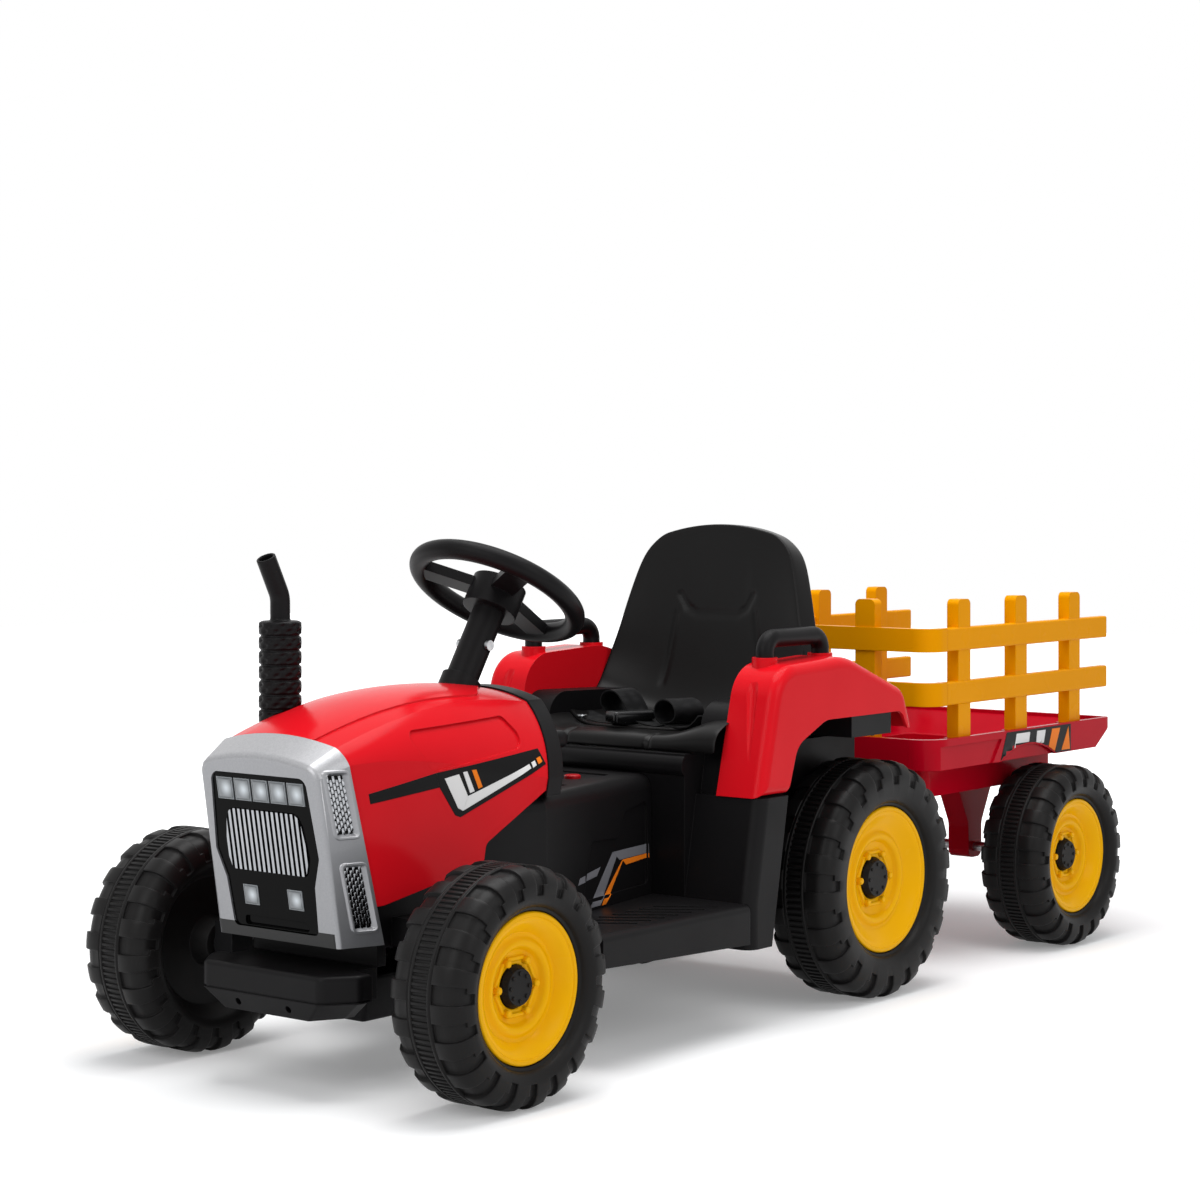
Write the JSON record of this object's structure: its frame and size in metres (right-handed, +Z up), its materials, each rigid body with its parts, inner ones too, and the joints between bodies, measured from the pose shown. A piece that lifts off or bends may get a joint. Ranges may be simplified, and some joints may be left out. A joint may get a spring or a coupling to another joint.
{
  "type": "ride-on toy tractor with trailer",
  "caption": "Ride-on toy tractor with a hooded nose, bucket seat, steered front wheels, mudguards and a fenced trailer on a hitch pin.",
  "frame": {"origin": "on the ground, midway between the front of the front tyres and the trailer's tail, on the centre plane", "axes": "+X forward towards the nose, +Y to the driver's left, +Z up"},
  "size_m": [1.382, 0.5102, 0.53],
  "materials": {
    "gloss_red": "injection-moulded red, gloss",
    "deep_red": "injection-moulded deep red, gloss",
    "satin_black": "moulded black, satin",
    "gloss_black": "moulded black, gloss",
    "wheel_black": "blow-moulded black, satin tread",
    "silver_paint": "silver painted plastic, satin",
    "chrome_trim": "vacuum-metallised plastic",
    "lens": "frosted clear plastic",
    "yellow": "moulded yellow, gloss",
    "amber": "moulded amber, gloss",
    "signal_red": "moulded red push, gloss",
    "steel": "zinc-plated steel",
    "webbing": "woven black webbing",
    "grey_case": "moulded dark grey case"
  },
  "bodies": {
    "chassis": {"floor_pan": "satin_black", "front_subframe": "satin_black", "front_bumper": "satin_black", "hood": "gloss_red", "grille_surround": "silver_paint", "grille_panel": "gloss_black", "grille_bars": "chrome_trim", "lamp_lenses": "lens", "vent_meshes": "chrome_trim", "dash_cowl": "satin_black", "exhaust_stack": "satin_black", "center_console": "satin_black", "seat_base": "satin_black", "seat": "satin_black", "seat_screws": "steel", "fender_left": "gloss_red", "fender_right": "gloss_red", "grab_handle_left": "satin_black", "grab_handle_right": "satin_black", "seat_belt": "webbing", "belt_buckle": "satin_black", "rear_axle": "steel", "gearbox_left": "grey_case", "gearbox_right": "grey_case", "battery": "grey_case", "hitch_bracket": "satin_black"},
    "steering": {"steering_wheel": "satin_black", "steering_shaft": "steel", "steering_bolt": "steel"},
    "horn_push": {"horn_button": "satin_black"},
    "tie_rod_body": {"tie_rod": "steel"},
    "knuckle_body_left": {"knuckle_left": "steel"},
    "knuckle_body_right": {"knuckle_right": "steel"},
    "lever": {"gear_lever": "satin_black"},
    "start_push": {"start_button": "signal_red"},
    "pedal": {"accelerator_pedal": "satin_black"},
    "trailer": {"trailer_tub": "deep_red", "fence_front": "amber", "fence_left": "amber", "fence_right": "amber", "trailer_axle": "steel", "drawbar": "deep_red"},
    "wheel_front_left": {"tyre_front_left": "wheel_black", "rim_front_left": "yellow", "hub_cap_front_left": "satin_black"},
    "wheel_front_right": {"tyre_front_right": "wheel_black", "rim_front_right": "yellow", "hub_cap_front_right": "satin_black"},
    "wheel_rear_left": {"tyre_rear_left": "wheel_black", "rim_rear_left": "yellow", "hub_cap_rear_left": "satin_black"},
    "wheel_rear_right": {"tyre_rear_right": "wheel_black", "rim_rear_right": "yellow", "hub_cap_rear_right": "satin_black"},
    "wheel_trailer_left": {"tyre_trailer_left": "wheel_black", "rim_trailer_left": "yellow", "hub_cap_trailer_left": "satin_black"},
    "wheel_trailer_right": {"tyre_trailer_right": "wheel_black", "rim_trailer_right": "yellow", "hub_cap_trailer_right": "satin_black"}
  },
  "joints": [
    {"name": "steering_turn", "type": "hinge", "parent": "chassis", "child": "steering", "pos_m": [0.344, 0, 0.467], "axis": [-0.5299, 0, 0.848], "range_deg": [-40, 40]},
    {"name": "horn_press", "type": "slide", "parent": "steering", "child": "horn_push", "axis": [0.5299, 0, -0.848], "range_m": [0, 0.002], "stiffness_N_per_m": 800, "springref_m": -0.002},
    {"name": "tie_rod_shift", "type": "slide", "parent": "chassis", "child": "tie_rod_body", "axis": [0, 1, 0], "range_m": [-0.0156, 0.0156]},
    {"name": "knuckle_turn_left", "type": "hinge", "parent": "chassis", "child": "knuckle_body_left", "pos_m": [0.578, 0.15, 0.113], "axis": [0, 0, 1], "range_deg": [-20.2, 20.2]},
    {"name": "wheel_spin_front_left", "type": "hinge", "parent": "knuckle_body_left", "child": "wheel_front_left", "pos_m": [0.578, 0.2105, 0.113], "axis": [0, 1, 0], "continuous": true},
    {"name": "wheel_spin_rear_left", "type": "hinge", "parent": "chassis", "child": "wheel_rear_left", "pos_m": [-0.086, 0.171, 0.134], "axis": [0, 1, 0], "continuous": true},
    {"name": "wheel_spin_trailer_left", "type": "hinge", "parent": "trailer", "child": "wheel_trailer_left", "pos_m": [-0.527, 0.169, 0.113], "axis": [0, 1, 0], "continuous": true},
    {"name": "knuckle_turn_right", "type": "hinge", "parent": "chassis", "child": "knuckle_body_right", "pos_m": [0.578, -0.15, 0.113], "axis": [0, 0, 1], "range_deg": [-20.2, 20.2]},
    {"name": "wheel_spin_front_right", "type": "hinge", "parent": "knuckle_body_right", "child": "wheel_front_right", "pos_m": [0.578, -0.2105, 0.113], "axis": [0, 1, 0], "continuous": true},
    {"name": "wheel_spin_rear_right", "type": "hinge", "parent": "chassis", "child": "wheel_rear_right", "pos_m": [-0.086, -0.171, 0.134], "axis": [0, 1, 0], "continuous": true},
    {"name": "wheel_spin_trailer_right", "type": "hinge", "parent": "trailer", "child": "wheel_trailer_right", "pos_m": [-0.527, -0.169, 0.113], "axis": [0, 1, 0], "continuous": true},
    {"name": "trailer_yaw", "type": "hinge", "parent": "chassis", "child": "trailer", "pos_m": [-0.198, 0, 0.229], "axis": [0, 0, 1], "range_deg": [-25, 25]},
    {"name": "lever_throw", "type": "hinge", "parent": "chassis", "child": "lever", "pos_m": [0.342, 0.062, 0.244], "axis": [0, 1, 0], "range_deg": [-20, 0]},
    {"name": "start_press", "type": "slide", "parent": "chassis", "child": "start_push", "axis": [0, 0, -1], "range_m": [0, 0.002], "stiffness_N_per_m": 800, "springref_m": -0.002},
    {"name": "pedal_press", "type": "hinge", "parent": "chassis", "child": "pedal", "pos_m": [0.314, -0.15, 0.145], "axis": [0, 1, 0], "range_deg": [0, 12], "stiffness_Nm_per_rad": 0.6, "springref_deg": -8.59}
  ],
  "couplings": [
    {"joint": "knuckle_turn_left", "follows": "steering_turn", "ratio": 0.5},
    {"joint": "knuckle_turn_right", "follows": "steering_turn", "ratio": 0.5},
    {"joint": "tie_rod_shift", "follows": "steering_turn", "m_per_rad": -0.022046}
  ]
}
